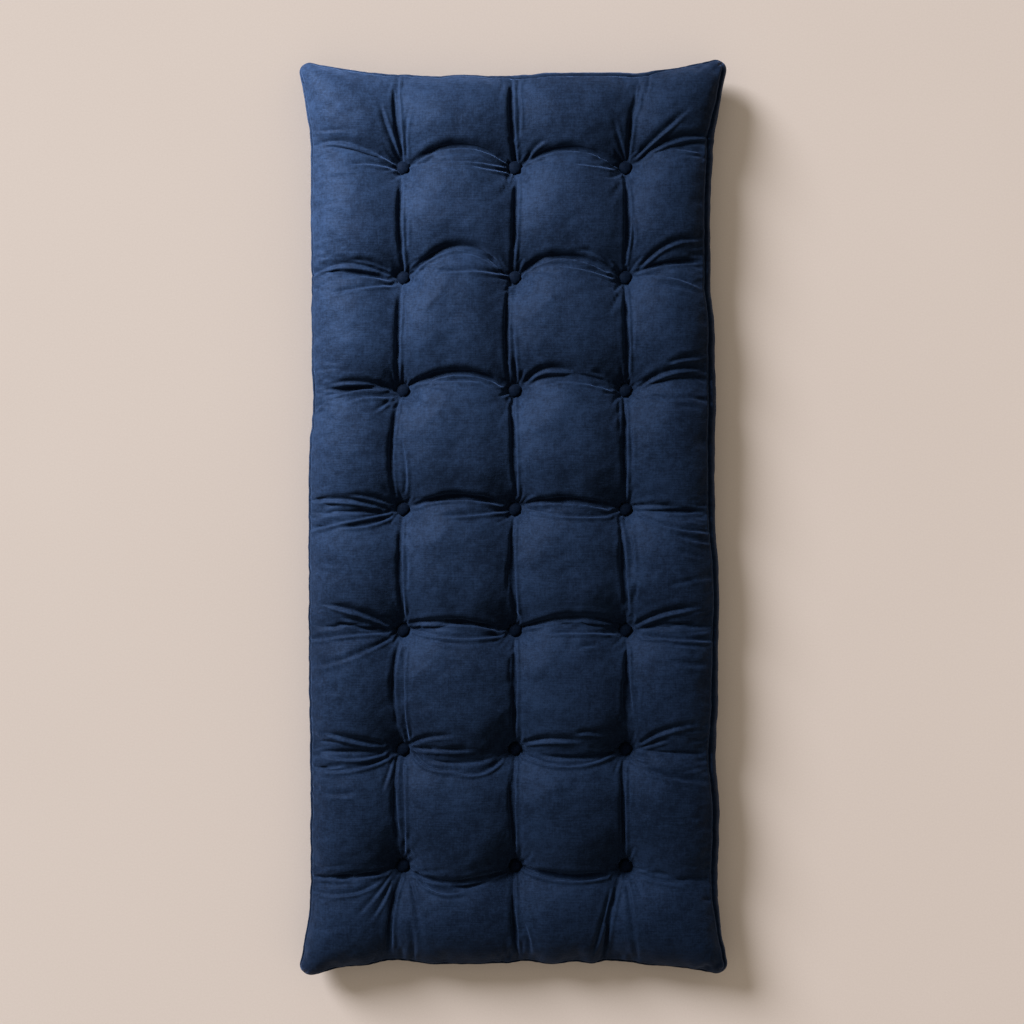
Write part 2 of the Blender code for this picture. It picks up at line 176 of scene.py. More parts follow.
# Folds that run from a tuft, in the order of the rows. Each has the tuft's column, three points that it runs
# through, in millimetres from the tuft, and a number for how deep it looks.
FOLDS = {
    1: (
        (1, (-17, 10), (-99, 42), (-183, 53), 6), (1, (-22, -1), (-84, 4), (-131, -11), 3),
        (1, (-146, 25), (-172, 21), (-189, 4), 3), (1, (-82, -26), (-127, -29), (-187, -33), 1.5),
        (1, (-2, 17), (-11, 124), (-11, 206), 7), (1, (-9, 17), (-35, 85), (-50, 137), 4),
        (1, (5, 21), (8, 83), (21, 133), 2.5), (1, (17, 6), (122, 40), (230, 8), 7),
        (1, (21, 4), (122, 7), (217, 2), 2.5), (2, (-100, -1), (-59, -7), (-12, -9), 2),
        (2, (14, 6), (117, 34), (214, 4), 7), (2, (119, 2), (166, -1), (212, -3), 2),
        (2, (22, 14), (44, 40), (68, 53), 3), (2, (1, 12), (-7, 98), (-7, 197), 7),
        (2, (7, 60), (7, 115), (0, 176), 4), (3, (3, 17), (9, 86), (13, 144), 5),
        (3, (15, 101), (22, 133), (26, 169), 3), (3, (41, 150), (46, 174), (48, 204), 2.5),
        (3, (-4, 17), (-19, 60), (-32, 107), 2.5), (3, (20, 21), (82, 75), (140, 124), 5),
        (3, (24, 10), (99, 53), (198, 64), 6), (3, (93, 34), (142, 32), (179, 15), 2),
        (1, (-3, -31), (-5, -123), (0, -216), 6), (1, (7, -102), (8, -155), (8, -186), 3),
        (2, (3, -26), (0, -121), (-7, -220), 6), (3, (-3, -24), (3, -104), (-3, -205), 6),
        (3, (7, -104), (13, -153), (10, -185), 3),
    ),
    2: (
        (1, (-31, 17), (-78, 32), (-114, 30), 4), (1, (-33, 8), (-121, 25), (-200, 4), 6),
        (1, (-28, -5), (-86, 2), (-147, -7), 3), (1, (-22, -15), (-104, -28), (-179, -46), 2.5),
        (1, (17, 10), (126, 62), (219, 10), 7), (1, (58, 4), (139, 12), (223, 8), 3.5),
        (1, (120, 53), (167, 43), (202, 19), 2.5), (2, (14, 9), (94, 41), (197, 13), 7),
        (2, (46, 24), (126, 19), (207, 0), 3), (2, (130, 56), (171, 47), (205, 26), 2),
        (3, (33, 25), (100, 71), (175, 75), 5), (3, (27, 12), (96, 28), (177, 30), 3.5),
        (3, (20, 2), (100, -3), (180, -35), 4), (3, (46, -18), (100, -24), (158, -39), 2.5),
        (1, (-5, -28), (-9, -121), (-11, -218), 6), (1, (4, -46), (2, -110), (0, -157), 3),
        (2, (-14, -28), (-18, -127), (-14, -221), 5), (2, (-8, -92), (-3, -168), (2, -221), 4),
        (3, (-3, -24), (0, -123), (3, -213), 6), (3, (10, -106), (11, -138), (10, -172), 3),
    ),
    3: (
        (1, (-25, 4), (-90, 17), (-163, 13), 4.5), (1, (-38, 4), (-115, 0), (-186, -24), 5),
        (1, (-27, -13), (-90, -15), (-124, -32), 2.5), (1, (-156, -19), (-176, -30), (-197, -52), 3.5),
        (1, (-29, -22), (-47, -37), (-64, -49), 2), (1, (20, 13), (123, 37), (211, 13), 7),
        (1, (31, 17), (110, 22), (192, 17), 3.5), (2, (23, 19), (72, 45), (145, 32), 5),
        (2, (51, 13), (126, 20), (205, 2), 5), (2, (162, 39), (180, 34), (192, 26), 2),
        (3, (29, 9), (94, 41), (175, 45), 6), (3, (81, 54), (124, 67), (171, 69), 3.5),
        (3, (42, -13), (94, -19), (143, -22), 2), (3, (104, -34), (132, -37), (163, -43), 1.5),
        (1, (-9, -19), (-23, -127), (-17, -224), 6), (1, (-6, -99), (5, -163), (4, -217), 4),
        (2, (-5, -19), (-3, -105), (2, -224), 6), (2, (-11, -30), (-8, -62), (-5, -95), 2.5),
        (3, (-4, -22), (-4, -123), (-3, -230), 6), (3, (-16, -28), (-16, -69), (-16, -108), 2),
        (3, (3, -58), (9, -125), (6, -189), 3),
    ),
    4: (
        (1, (-26, 14), (-71, 27), (-121, 33), 3.5), (1, (-39, 3), (-108, 20), (-194, 20), 4.5),
        (1, (-31, -5), (-112, -20), (-196, -42), 6.5), (1, (-26, -14), (-78, -31), (-140, -35), 4.5),
        (1, (23, 8), (114, 25), (210, 12), 6.5), (1, (77, -13), (150, -8), (219, -1), 4),
        (2, (18, 10), (100, 18), (199, 3), 6), (2, (20, 3), (100, -10), (199, -12), 4.5),
        (3, (20, 8), (69, 8), (125, 4), 3), (3, (76, -2), (117, -5), (157, -2), 3.5),
        (3, (26, -9), (63, -27), (138, -44), 3), (3, (101, -51), (138, -63), (194, -70), 4),
        (3, (104, -40), (149, -44), (194, -48), 3), (3, (101, -87), (138, -96), (168, -104), 1.5),
        (3, (84, -162), (125, -152), (160, -145), 1.5), (1, (-3, -27), (-5, -121), (2, -233), 6),
        (1, (8, -78), (10, -132), (8, -180), 2.5), (2, (-4, -27), (-6, -124), (3, -235), 6),
        (2, (-14, -106), (-16, -149), (-15, -190), 2.5), (3, (-12, -25), (-7, -119), (3, -218), 6),
        (3, (5, -48), (11, -102), (14, -141), 4), (3, (20, -152), (18, -175), (15, -197), 3),
    ),
    5: (
        (1, (-33, 16), (-95, 44), (-185, 63), 5.5), (1, (-67, 16), (-104, 25), (-136, 35), 2.5),
        (1, (-31, -1), (-106, -3), (-192, -16), 4), (1, (-26, -14), (-95, -46), (-175, -76), 2.5),
        (1, (-136, -57), (-164, -68), (-200, -70), 2.5), (1, (21, 17), (116, 20), (210, 3), 5.5),
        (1, (23, 3), (116, -8), (210, -6), 6), (1, (55, -12), (83, -20), (118, -25), 2),
        (2, (16, 7), (128, 29), (218, 15), 6), (2, (63, 0), (138, 2), (214, -3), 4.5),
        (2, (132, -33), (156, -28), (181, -26), 2), (3, (21, 14), (83, 42), (165, 55), 5),
        (3, (38, 5), (70, 14), (111, 17), 2.5), (3, (38, -10), (109, -12), (191, -20), 4.5),
        (3, (68, -14), (118, -27), (161, -31), 3), (3, (83, -57), (131, -68), (186, -70), 3),
        (1, (-9, -27), (-20, -111), (-11, -182), 5), (1, (4, -38), (1, -143), (10, -231), 6),
        (2, (-2, -26), (-1, -108), (-3, -226), 6), (2, (-10, -48), (-12, -84), (-10, -123), 2.5),
        (3, (2, -27), (2, -113), (14, -201), 6), (3, (-7, -96), (-5, -145), (-3, -201), 5),
        (3, (19, -113), (23, -130), (23, -147), 2),
    ),
    6: (
        (1, (-42, 15), (-108, 28), (-184, 47), 4.5), (1, (-40, -3), (-102, -11), (-171, -6), 5.5),
        (1, (-29, -12), (-102, -32), (-199, -39), 4.5), (1, (-119, -25), (-158, -32), (-197, -34), 3),
        (1, (-171, -77), (-188, -82), (-207, -90), 5), (1, (-91, -84), (-136, -88), (-184, -87), 2.5),
        (1, (-22, -18), (-35, -60), (-46, -90), 2), (1, (25, -6), (68, -32), (135, -34), 5.5),
        (1, (107, -34), (160, -42), (210, -19), 5.5), (1, (23, 5), (96, 6), (169, 5), 3),
        (1, (16, 15), (57, 32), (122, 39), 3), (2, (24, 18), (83, 29), (149, 24), 5),
        (2, (123, 40), (162, 44), (195, 32), 3), (2, (20, -8), (117, -24), (214, -2), 6),
        (3, (32, 17), (92, 51), (165, 60), 4), (3, (38, 9), (66, 21), (94, 30), 2.5),
        (3, (34, -31), (92, -50), (182, -63), 5), (3, (19, -11), (36, -13), (55, -15), 2),
        (1, (-13, -22), (-16, -110), (-5, -204), 5.5), (1, (1, -37), (2, -127), (3, -219), 5),
        (2, (-1, -23), (-5, -92), (-1, -210), 5.5), (2, (-12, -49), (-12, -103), (-8, -150), 3),
        (3, (-7, -24), (-8, -106), (-5, -222), 6), (3, (4, -56), (4, -93), (2, -129), 2.5),
    ),
    7: (
        (1, (-34, -9), (-116, -16), (-194, -22), 4), (1, (-43, -20), (-95, -44), (-178, -52), 2.5),
        (1, (-30, -20), (-62, -59), (-103, -102), 2.5), (1, (-24, -27), (-49, -78), (-77, -113), 2.5),
        (1, (-4, -20), (-22, -93), (-24, -197), 6.5), (1, (15, -27), (32, -85), (43, -164), 4),
        (1, (13, -100), (24, -149), (19, -201), 5), (1, (28, -14), (95, -27), (161, -20), 3.5),
        (1, (32, -16), (86, -44), (155, -33), 5), (2, (-124, -26), (-70, -19), (-25, -11), 4),
        (2, (20, -2), (98, -17), (195, -15), 6), (2, (-4, -23), (-3, -92), (5, -195), 6),
        (2, (8, -105), (23, -131), (33, -189), 4.5), (3, (29, -13), (78, -23), (127, -28), 2.5),
        (3, (16, -23), (29, -49), (37, -73), 2), (3, (-14, -30), (-34, -92), (-49, -204), 6),
        (3, (-32, -32), (-51, -105), (-79, -200), 4.5), (3, (1, -36), (9, -92), (24, -204), 5),
    ),
}

# The grid of points: how many lines are on each rolled edge, which of them is the seam, how many apart the
# ones are that the Cloth and the underside use, and what the lines between the rolls are spaced by
ROLL_LINES = 27
SEAM_LINE = 6
COARSE_EVERY = 3
SPACING_SAMPLES = 6001
SPACING_FADE = 0.03

# How far round the roll the lines beside the seam are from it, for the first and the second line
SEAM_HALF_LIP = math.radians(3.0)
SEAM_LIP = math.radians(6.2)


def ear(value, half, tufts):
    """How much of a corner's drawing out applies: none up to just past the outermost tuft, all at half."""
    start = np.abs(tufts).max() + EAR_START
    return np.clip((np.abs(value) - start) / (half - start), 0, 1) ** EAR_CURVE


def eased(value, table, column):
    """A column of a table at this value of its first column, with smooth steps between its rows."""
    table = np.array(table)
    place = np.interp(value, table[:, 0], np.arange(len(table)))
    row = np.minimum(place.astype(int), len(table) - 2)
    share = blend_between(place - row, 0, 1)
    return table[row, column] * (1 - share) + table[row + 1, column] * share


def spaced_lines(reach, tufts, fine, coarse, near):
    """Lines from -reach to reach, fine apart near the tufts and coarse apart elsewhere."""
    places = np.linspace(-reach, reach, SPACING_SAMPLES)
    away = np.abs(places[:, None] - tufts).min(axis=1)
    spacing = fine + (coarse - fine) * np.clip((away - near) / SPACING_FADE, 0, 1)
    total = np.concatenate([[0], np.cumsum(np.diff(places) / spacing[1:])])
    count = COARSE_EVERY * round(total[-1] / COARSE_EVERY)
    return np.interp(np.linspace(0, total[-1], count + 1), total, places)


def with_rolls(inner):
    """The lines with those of the rolled edges: where each is before the roll, its side, and its number
    from the seam's side, which is ROLL_LINES or more where it isn't on a roll."""
    places = np.pad(inner, ROLL_LINES, mode="edge")
    number = np.arange(len(places))
    number = np.minimum(number, number[::-1])
    return places, np.sign(places), number


def roll_turn(number, seam_turn):
    """How far round the rolled edge a line is, in radians: 0 at the widest, a quarter turn at its top."""
    below = (seam_turn - SEAM_LIP) * number / (SEAM_LINE - 2)
    above_share = (number - SEAM_LINE - 2) / (ROLL_LINES - SEAM_LINE - 2)
    above = seam_turn + SEAM_LIP + (math.pi / 2 - seam_turn - SEAM_LIP) * above_share
    offset = number - SEAM_LINE
    step = np.where(np.abs(offset) == 1, SEAM_HALF_LIP, np.where(offset == 0, 0, SEAM_LIP))
    near = seam_turn + np.sign(offset) * step
    turn = np.where(np.abs(offset) <= 2, near, np.where(offset < 0, below, above))
    return np.where(number >= ROLL_LINES, math.pi / 2, turn)


def blend_between(value, low, high):
    """0 at low and below, 1 at high and above, smooth between."""
    t = np.clip((value - low) / (high - low), 0, 1)
    return t * t * (3 - 2 * t)


# Where round the roll the seam lies, in degrees up from the widest line. It wanders a little along the
# sides, and rises on part of the head.
SEAM_LEFT, SEAM_RIGHT = 14.5, 32
SEAM_CORNER = 15
SEAM_HEAD, SEAM_FOOT = 17, 16
SEAM_HEAD_RISE = 11
SEAM_WANDER, SEAM_WANDER_RATE = 2.0, 9.0


def seam_turns(x, y):
    """Where the seam lies round the roll of each side and of each end, in radians."""
    side = np.where(x > 0, SEAM_RIGHT, SEAM_LEFT) + SEAM_WANDER * np.sin(y * SEAM_WANDER_RATE)
    side = side + (SEAM_CORNER - side) * ear(y, HALF_LENGTH, TUFT_Y)
    risen = blend_between(x, -0.02, 0.02) * blend_between(-x, -0.31, -0.25)
    end = np.where(y > 0, SEAM_HEAD + SEAM_HEAD_RISE * risen, SEAM_FOOT)
    return np.radians(side), np.radians(end)


def drawn_aside(along, across, ends, lines, amounts):
    """How far the valleys are drawn aside at a place. Each row of amounts is for the line of tufts at one of
    the lines across, and its amounts are for the stretches between the ends along it."""
    total = np.zeros(np.broadcast(along, across).shape)
    for number, row in enumerate(amounts):
        weight = np.interp(across, sorted(lines[number : number + 3]), (0, 1, 0))
        for gap, amount in enumerate(row):
            share = np.clip((along - ends[gap]) / (ends[gap + 1] - ends[gap]), 0, 1)
            arc = {0: 1 - share, len(row) - 1: share}.get(gap, np.sin(math.pi * share))
            total = total + amount * weight * arc**VALLEY_CURVE
    return total


def valley_bow(x, y):
    """How far the valleys between the tufts bow towards the head at x, y."""
    lines = [HALF_LENGTH - TOP_ROLL, *TUFT_Y, TOP_ROLL - HALF_LENGTH]
    return drawn_aside(x, y, [-HALF_WIDTH, *TUFT_X, HALF_WIDTH], lines, VALLEY_BOWS)


def valley_lean(x, y):
    """How far the valleys between the rows lean to the right at x, y."""
    ends = [HALF_LENGTH - TOP_ROLL, *TUFT_Y, TOP_ROLL - HALF_LENGTH]
    return drawn_aside(y, x, ends, [TOP_ROLL - HALF_WIDTH, *TUFT_X, HALF_WIDTH - TOP_ROLL], VALLEY_LEANS)


def cell_rise(distance):
    """How far the filling has crowned at this distance from a valley: 0 in it, and 1 in a cell's middle."""
    return 1 - (1 - np.clip(distance / CELL_REACH, 0, 1)) ** CROWN_CURVE


class Grid:
    """The lines of the cover's grid and the places that follow from them."""

    def __init__(self):
        inner_x = spaced_lines(HALF_WIDTH - TOP_ROLL, TUFT_X, fine=0.0021, coarse=0.0052, near=0.026)
        inner_y = spaced_lines(HALF_LENGTH - TOP_ROLL, TUFT_Y, fine=0.0023, coarse=0.0048, near=0.038)
        x, self.side_x, number_x = with_rolls(inner_x)
        y, self.side_y, number_y = with_rolls(inner_y)
        self.x, self.y = np.meshgrid(x, y, indexing="ij")
        self.shape = self.x.shape
        number_x, number_y = np.meshgrid(number_x, number_y, indexing="ij")
        self.ring = np.minimum(number_x, number_y)
        side_turn, end_turn = seam_turns(self.x, self.y)
        self.turn_x = roll_turn(number_x, side_turn)
        self.turn_y = roll_turn(number_y, end_turn)

    def plan(self):
        """The x and y of every point."""
        sign_x, sign_y = self.side_x[:, None], self.side_y[None, :]
        wide = self.x + sign_x * TOP_ROLL * np.cos(self.turn_x)
        long = self.y + sign_y * TOP_ROLL * np.cos(self.turn_y)
        out_x = np.abs(self.x) / (HALF_WIDTH - TOP_ROLL)
        out_y = np.abs(self.y) / (HALF_LENGTH - TOP_ROLL)
        ear_x = EAR_WIDEN * ear(long, HALF_LENGTH, TUFT_Y) * out_x**EAR_SPREAD
        ear_y = EAR_LENGTHEN * ear(wide, HALF_WIDTH, TUFT_X) * out_y**EAR_SPREAD
        x, y = round_corners(wide + sign_x * ear_x, long + sign_y * ear_y)
        bow_x = np.where(self.x < 0, eased(long, SIDE_BOWS, 1), eased(long, SIDE_BOWS, 2))
        bow_y = np.where(self.y > 0, eased(wide, END_BOWS, 1), eased(wide, END_BOWS, 2))
        x = x + sign_x * bow_x * out_x**SIDE_BOW_SPREAD + valley_lean(self.x, self.y)
        y = y + sign_y * bow_y * out_y**END_BOW_SPREAD + valley_bow(self.x, self.y)
        return x, y

    def top(self):
        """The cover's upper face before it is inflated, down to its widest line."""
        x, y = self.plan()
        away_x = np.abs(self.x[..., None] - TUFT_X).min(axis=-1)
        away_y = np.abs(self.y[..., None] - TUFT_Y).min(axis=-1)
        past_x = blend_between(np.abs(x), np.abs(TUFT_X).max() + EDGE_START, HALF_WIDTH)
        past_y = blend_between(np.abs(y), np.abs(TUFT_Y).max() + EDGE_START, HALF_LENGTH)
        rise_x, rise_y = cell_rise(away_x), cell_rise(away_y)
        rise_x = rise_x + (1 - rise_x) * EDGE_LIFT * past_y
        rise_y = rise_y + (1 - rise_y) * EDGE_LIFT * past_x
        both = 1 - ACROSS_VALLEY - ALONG_VALLEY
        crown = ACROSS_VALLEY * rise_x + ALONG_VALLEY * rise_y + both * rise_x * rise_y
        z = TUFT_FLOOR_Z + (CROWN_Z - TUFT_FLOOR_Z) * crown
        away = tuft_distance(x, y)
        z = z + TUFT_SWELL * bulge(away, TUFT_SWELL_AT, TUFT_SWELL_WIDTH)
        wall = TUFT_FLOOR_Z + TUFT_WALL_SLOPE * np.maximum(0, away - TUFT_FLOOR_RADIUS)
        z = smooth_least(z, wall, TUFT_WALL_BLEND)
        z = np.where(away < TUFT_FLOOR_RADIUS, TUFT_FLOOR_Z, z)
        share = np.sin(self.turn_x) * np.sin(self.turn_y)
        return np.stack([x, y, SEAM_Z + (z - SEAM_Z) * share], axis=-1)

    def under(self):
        """The cover's lower face: flat on the floor, drawn up at the tufts and round at the edges."""
        x, y = self.plan()
        inset_x = TOP_ROLL * (1 - np.cos(self.turn_x))
        inset_y = TOP_ROLL * (1 - np.cos(self.turn_y))
        left_x = np.clip(1 - inset_x / UNDER_ROLL, 0, 1)
        left_y = np.clip(1 - inset_y / UNDER_ROLL, 0, 1)
        share = np.sqrt(1 - left_x**2) * np.sqrt(1 - left_y**2)
        away = tuft_distance(x, y)
        past = np.maximum(0, away - UNDER_TUFT_RADIUS) / UNDER_TUFT_REACH
        recess = UNDER_TUFT_Z * np.exp(-(past**UNDER_TUFT_CURVE))
        return np.stack([x, y, recess + SEAM_Z * (1 - share)], axis=-1)


def round_corners(x, y):
    """The plan with its corners rounded off; their edges lean out, so they are less than a right angle."""
    reach = EAR_ROUND / math.sin(math.pi / 4 - EAR_LEAN) / math.sqrt(2)
    centre_x, centre_y = np.abs(x).max() - reach, np.abs(y).max() - reach
    out_x, out_y = np.abs(x) - centre_x, np.abs(y) - centre_y
    turn = np.arctan2(out_y, out_x)
    from_edge = np.clip(np.minimum(turn + EAR_LEAN, math.pi / 2 + EAR_LEAN - turn), 0, None)
    scale = np.cos(from_edge)
    return np.sign(x) * (centre_x + out_x * scale), np.sign(y) * (centre_y + out_y * scale)


def tuft_distance(x, y):
    """The distance in plan to the nearest tuft."""
    least = np.full(x.shape, np.inf)
    for tuft_x in TUFT_X:
        for tuft_y in TUFT_Y:
            least = np.minimum(least, np.hypot(x - tuft_x, y - tuft_y))
    return least


def smooth_least(a, b, width):
    """The lesser of two heights, with the step between them rounded."""
    mix = np.clip(0.5 + 0.5 * (b - a) / width, 0, 1)
    return b * (1 - mix) + a * mix - width * mix * (1 - mix)


def grid_faces(shape):
    """The quads of a grid of points, as rows of four point numbers."""
    number = np.arange(shape[0] * shape[1]).reshape(shape)
    corners = (number[:-1, :-1], number[1:, :-1], number[1:, 1:], number[:-1, 1:])
    return np.stack(corners, axis=-1).reshape(-1, 4)


def normals_of(points):
    """The normals of a grid of points."""
    across = np.gradient(points, axis=0)
    along = np.gradient(points, axis=1)
    normal = np.cross(across, along)
    return normal / np.maximum(np.linalg.norm(normal, axis=-1, keepdims=True), 1e-12)


# Inflating
CLOTH_FRAMES = 14
CLOTH = {
    "quality": 5,
    "mass": 0.3,
    "air_damping": 1,
    "tension_stiffness": 40,
    "compression_stiffness": 40,
    "shear_stiffness": 4,
    "bending_stiffness": 0.05,
    "shrink_min": -0.012,
    "use_pressure": True,
    "uniform_pressure_force": 90,
}
MOST_SWELL = 0.012


def inflated(points, ring):
    """The grid after it is inflated as cloth, held at the tufts and from the seam outwards."""
    coarse = points[::COARSE_EVERY, ::COARSE_EVERY]
    held = (ring[::COARSE_EVERY, ::COARSE_EVERY] <= SEAM_LINE) | (
        tuft_distance(coarse[..., 0], coarse[..., 1]) < TUFT_FLOOR_RADIUS
    )
    mesh = bpy.data.meshes.new("inflating")
    mesh.from_pydata(coarse.reshape(-1, 3).tolist(), [], grid_faces(coarse.shape[:2]).tolist())
    sheet = placed("inflating", mesh)
    scene = bpy.context.scene
    group = sheet.vertex_groups.new(name="held")
    group.add(np.flatnonzero(held.reshape(-1)).tolist(), 1.0, "REPLACE")
    cloth = sheet.modifiers.new("cloth", "CLOTH")
    settings = cloth.settings
    for name, value in CLOTH.items():
        setattr(settings, name, value)
    settings.vertex_group_mass = group.name
    settings.effector_weights.gravity = 0
    cloth.collision_settings.use_collision = False
    first = scene.frame_current
    cloth.point_cache.frame_start = 1
    cloth.point_cache.frame_end = CLOTH_FRAMES
    for step in range(1, CLOTH_FRAMES + 1):
        scene.frame_set(step)
    graph = bpy.context.evaluated_depsgraph_get()
    result = sheet.evaluated_get(graph).to_mesh()
    moved = np.empty(3 * len(result.vertices), dtype=np.float32)
    result.vertices.foreach_get("co", moved)
    moved = moved.reshape(coarse.shape).astype(float)
    bpy.data.objects.remove(sheet)
    scene.frame_set(first)
    swell = moved - coarse
    length = np.linalg.norm(swell, axis=-1, keepdims=True)
    swell = swell * np.minimum(1, MOST_SWELL / np.maximum(length, 1e-9))
    return points + refined(refined(swell, points.shape[0], 0), points.shape[1], 1)


def refined(values, count, axis):
    """Values on the coarse grid lines, smoothly filled in on count lines along an axis."""
    values = np.moveaxis(values, axis, 0)
    place = np.arange(count) / COARSE_EVERY
    start = np.clip(np.floor(place).astype(int), 0, len(values) - 2)
    t = (place - start).reshape((-1,) + (1,) * (values.ndim - 1))
    before = values[np.maximum(start - 1, 0)]
    first, second = values[start], values[start + 1]
    after = values[np.minimum(start + 2, len(values) - 1)]
    result = 0.5 * (
        2 * first
        + (second - before) * t
        + (2 * before - 5 * first + 4 * second - after) * t**2
        + (3 * first - before - 3 * second + after) * t**3
    )
    return np.moveaxis(result, 0, axis)


# How far the stitching moves the seam's own line and the grid's lines beside it, counted from it, and how
# much of that is along their normals and how much straight up
SEAM_GROOVE = {-2: 0.4 * MM, -1: -2.4 * MM, 0: -6.5 * MM, 1: -3.0 * MM, 2: 1.0 * MM, 3: 0.6 * MM}
GROOVE_DIRECTION = (0.35, 0.65)

# Folds. A fold slopes down gently on the side that faces LIGHT_SIDE, towards the head and the left. Its lip
# on the other side is steep, with a low ridge and then a trough behind it.
LIGHT_SIDE = np.array([-0.6, 0.8])
FOLD_SAMPLES = 25
FOLD_REACH = 0.036
MOST_FOLD = 0.013
LEAST_SLOPE = 0.0018
SLOPE_PER_DEPTH = 0.58
CREASE_SHIFT = 0.35
UPPER_RIDGE = 0.14
LIP_WIDTH = 0.0022
LIP_RIDGE = 0.42
LIP_RIDGE_AT = 0.0056
LIP_RIDGE_WIDTH = 0.0031
LIP_TROUGH = 0.08
LIP_TROUGH_AT = 0.0130
LIP_TROUGH_WIDTH = 0.0042
HELD_END_DEPTH = 0.55

# How deep a fold of the table is pressed, in millimetres, from how deep it looks: upright folds less, and
# the others more from row to row
FOLD_LEAST = 2.3
FOLD_PER_LOOK = 1.20
UPRIGHT_FOLD = 0.78
FOLD_PER_ROW = 0.04

# The seeded folds round each tuft, on the top and on the underside: how many, the shortest, the longest and
# the deepest, where they start from its middle, and how far apart those along the sides are
TOP_PUCKERS = (11, 0.030, 0.065, 2.4 * MM)
UNDER_PUCKERS = (9, 0.040, 0.110, 3.0 * MM)
PUCKER_START = 0.013
EDGE_PUCKER_PITCH = 0.034

# How much of a fold is left outside the seam, and how many lines inside it a fold has its whole depth
FOLD_LEFT_OUTSIDE = 0.12
FOLD_FULL_INSIDE = 9

# The seeded waves' lengths and heights, and where round a tuft they fade in
LONG_RIPPLE = (0.085, 0.7 * MM)
SHORT_RIPPLE = (0.032, 0.4 * MM)
RIPPLE_FADE = (0.015, 0.05)

# The small puckers along the seam: their height, how close they follow each other along x and y, and how
# many lines from the seam they reach. After them, where the groove fades at the corners' tips.
SEAM_PUCKER = 0.5 * MM
SEAM_PUCKER_RATES = (310, 290)
SEAM_PUCKER_LINES = 5
GROOVE_FADE = (0.012, 0.045)


def bulge(away, place, width):
    """A rounded ridge that runs beside a crease."""
    return np.exp(-(((away - place) / width) ** 2))


def route_through(start, middle, end):
    """Points of a parabola that runs through three points."""
    control = 2 * middle - (start + end) / 2
    t = np.linspace(0, 1, FOLD_SAMPLES)[:, None]
    return start * (1 - t) ** 2 + 2 * control * t * (1 - t) + end * t**2


def fade_at_end(point):
    """True where a fold's end runs out in the cloth, and not at a tuft or over the edge."""
    inside = abs(point[0]) < HALF_WIDTH - 0.006 and abs(point[1]) < HALF_LENGTH - 0.006
    return inside and tuft_distance(point[:1], point[1:])[0] > 0.045


def beside_route(spots, route):
    """For each spot: how far along the route it is, from 0 to 1, how far to the route's side towards
    LIGHT_SIDE, and how far past its ends."""
    step = route[1:] - route[:-1]
    length = np.maximum(np.linalg.norm(step, axis=1), 1e-9)
    unit = step / length[:, None]
    offset = spots[:, None, :] - route[None, :-1, :]
    along = np.clip((offset * unit).sum(axis=-1), 0, length)
    gap = offset - along[..., None] * unit
    distance = np.linalg.norm(gap, axis=-1)
    nearest = distance.argmin(axis=1)
    pick = np.arange(len(spots))
    total = np.concatenate([[0], np.cumsum(length)])
    place = (total[nearest] + along[pick, nearest]) / total[-1]
    left = np.stack([-unit[:, 1], unit[:, 0]], axis=1)
    side = (gap[pick, nearest] * left[nearest]).sum(axis=1)
    past = np.sqrt(np.maximum(distance[pick, nearest] ** 2 - side**2, 0))
    return place, side * np.sign(left @ LIGHT_SIDE)[nearest], past


def fold_section(side, away, slope_width):
    """A fold's height as a share of its depth, -1 in the crease."""
    upper = UPPER_RIDGE * bulge(away, 2.1 * slope_width, 0.9 * slope_width)
    upper -= np.exp(-((away / slope_width) ** 1.3))
    lower = LIP_RIDGE * bulge(away, LIP_RIDGE_AT, LIP_RIDGE_WIDTH)
    lower -= LIP_TROUGH * bulge(away, LIP_TROUGH_AT, LIP_TROUGH_WIDTH)
    lower -= np.exp(-((away / LIP_WIDTH) ** 1.5))
    return np.where(side > 0, upper, lower)


def end_share(point, place, run_out):
    """How much of a fold's depth is left near one of its ends."""
    if fade_at_end(point):
        return blend_between(place, 0, run_out)
    return HELD_END_DEPTH + (1 - HELD_END_DEPTH) * blend_between(place, 0, 0.15)


def press_fold(points, normals, route, depth):
    """Presses one fold into the points, against their normals."""
    low, high = route.min(axis=0) - FOLD_REACH, route.max(axis=0) + FOLD_REACH
    flat = points.reshape(-1, 3)
    near = np.flatnonzero(np.all((flat[:, :2] > low) & (flat[:, :2] < high), axis=1))
    place, side, past = beside_route(flat[near, :2], route)
    slope_width = (LEAST_SLOPE + SLOPE_PER_DEPTH * depth) * (0.62 + 0.55 * np.sin(math.pi * place))
    side = side + CREASE_SHIFT * slope_width
    away = np.hypot(side, past)
    ends = end_share(route[0], place, 0.25) * end_share(route[-1], 1 - place, 0.4)
    push = depth * fold_section(side, away, slope_width) * ends * blend_between(FOLD_REACH - away, 0, 0.01)
    flat[near] += push[:, None] * normals.reshape(-1, 3)[near]


def tuft_folds():
    """Every fold of the table, as its route and its depth."""
    for row, folds in FOLDS.items():
        for column, start, middle, end, looks in folds:
            tuft = np.array([TUFT_X[column - 1], TUFT_Y[row - 1]])
            route = route_through(*(tuft + np.array(point) * MM for point in (start, middle, end)))
            upright = abs(end[1] - start[1]) > abs(end[0] - start[0])
            scale = UPRIGHT_FOLD if upright else 1 + FOLD_PER_ROW * (row - 1)
            yield route, scale * (FOLD_LEAST + FOLD_PER_LOOK * looks) * MM


